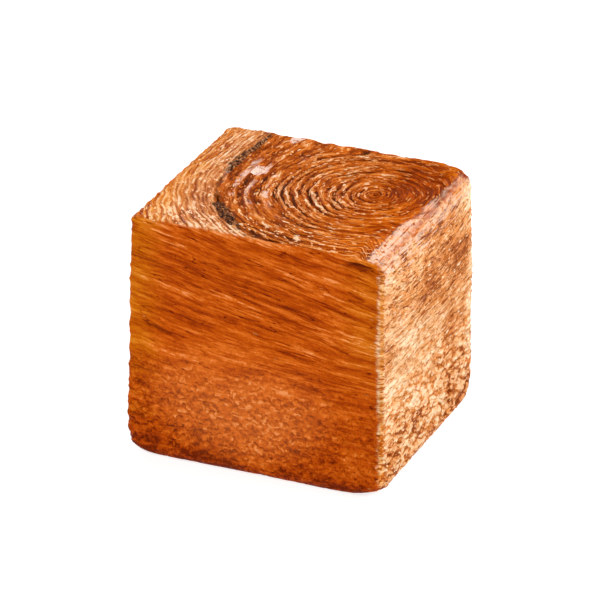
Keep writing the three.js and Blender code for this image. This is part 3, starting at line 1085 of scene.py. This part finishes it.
# Floor, light and camera.
studio = {
    "floorHalf": 6, "floorColour": (0.42, 0.42, 0.42), "floorGlow": 0.8,    # m, linear colour, strength
    "worldStrength": 0.08,
    "lamps": {    # direction from the object, distance in m, size in m, watts, colour
        "backLeft": ((-0.75, 0.55, 0.45), 1.2, 0.4, 5, (1.0, 0.96, 0.93)),
        "backRight": ((0.32, 0.84, 0.45), 1.2, 0.4, 4.2, (1.0, 0.95, 0.92)),
        "overhead": ((-0.15, 0.2, 1.0), 1.2, 0.3, 4.0, (1.0, 0.97, 0.93)),
        "rightKey": ((0.85, 0.1, 0.55), 1.1, 0.22, 6.3, (1.0, 0.97, 0.93)),
        "frontKey": ((-0.55, -0.6, 0.7), 1.2, 0.22, 5.3, (1.0, 0.96, 0.9)),
        "cornerFill": ((0.5, -0.75, 0.55), 1.2, 0.3, 3.4, (1.0, 0.97, 0.93)),
    },
}
cameraView = {
    "azimuth": 22.39, "elevation": 25.42, "roll": 0.70,    # degrees
    "target": (-0.0003, 0.0, 0.0364), "lift": 0.00197, "aside": -0.00062, "distance": 1.5,   # m
    "lens": 324.7,    # mm
    "near": 0.1, "far": 20,    # m
}


def makeCamera():
    a, e, roll = (math.radians(cameraView[key]) for key in ("azimuth", "elevation", "roll"))
    back = Vector((math.sin(a) * math.cos(e), -math.cos(a) * math.cos(e), math.sin(e)))
    level = Vector((math.cos(a), math.sin(a), 0))
    lift = back.cross(level)
    right = level * math.cos(roll) + lift * math.sin(roll)
    upward = back.cross(right)
    data = bpy.data.cameras.new("photoCamera")
    data.lens = cameraView["lens"]
    data.clip_start, data.clip_end = cameraView["near"], cameraView["far"]
    camera = bpy.data.objects.new("photoCamera", data)
    bpy.context.scene.collection.objects.link(camera)
    aim = Vector(cameraView["target"]) + upward * cameraView["lift"] + right * cameraView["aside"]
    matrix = camera.matrix_world.copy()
    for i in range(3):
        matrix[i][0], matrix[i][1], matrix[i][2] = right[i], upward[i], back[i]
        matrix[i][3] = aim[i] + back[i] * cameraView["distance"]
    camera.matrix_world = matrix
    bpy.context.scene.camera = camera


def makeFloor():
    far = studio["floorHalf"]
    floor = newPiece("floor", [(-far, -far, 0), (far, -far, 0), (far, far, 0), (-far, far, 0)],
                     [(0, 1, 2, 3)])
    material, shader = newMaterial("paleFloor", 0.1)
    shader.inputs["Base Color"].default_value = (*studio["floorColour"], 1)
    shader.inputs["Roughness"].default_value = 0.9
    shader.inputs["Emission Color"].default_value = (1, 1, 1, 1)
    shader.inputs["Emission Strength"].default_value = studio["floorGlow"]
    floor.data.materials.append(material)


def makeWorld():
    world = bpy.data.worlds.new("softWorld")
    bpy.context.scene.world = world
    world.use_nodes = True
    sky = world.node_tree.nodes["Background"]
    sky.inputs["Color"].default_value = (1, 1, 1, 1)
    sky.inputs["Strength"].default_value = studio["worldStrength"]
    bpy.context.scene.view_settings.view_transform = "Standard"


def makeLamps():
    for name, (direction, distance, size, power, colour) in studio["lamps"].items():
        data = bpy.data.lights.new(name, "AREA")
        data.size, data.energy, data.color = size, power, colour
        lamp = bpy.data.objects.new(name, data)
        towards = Vector(direction).normalized()
        lamp.location = Vector(cameraView["target"]) + towards * distance
        lamp.rotation_euler = towards.to_track_quat("Z", "Y").to_euler()
        bpy.context.scene.collection.objects.link(lamp)


makeCamera()
makeFloor()
makeWorld()
makeLamps()
print("studio ready")

pastryLow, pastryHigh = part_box("pastry")
pastryBox = {"Low": pastryLow, "High": pastryHigh}
crust = blockMesh()
print("block made:", len(crust.data.polygons), "faces")
grow(crust, layerTree(), {**layers, **pastryBox, "Material": crustMaterial()})
print("layers raised:", len(crust.data.vertices), "points")

sheetBox = {"Low": (-1, -1, 0), "High": (1, 1, pastryHigh[2])}    # held in by its seam
garlic = grow(fillingSheet(), fillingTree(), {**filling["sizes"], **sheetBox, "Material": fillingMaterial()})
print("filling laid:", len(garlic.data.polygons), "faces")

flaked = newPiece("crustFlakes")
flaked.data = crust.data.copy()
grow(flaked, flakeTree(), {**flakes["sizes"], **pastryBox, "Material": flakeMaterial()})
print("flakes scattered:", len(flaked.data.polygons), "faces")

for piece, slot in ((crust, "crust"), (garlic, "filling"), (flaked, "crust")):
    smooth(piece.data)
    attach(piece, "root")
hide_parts("pastry")
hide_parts("garlic_filling")
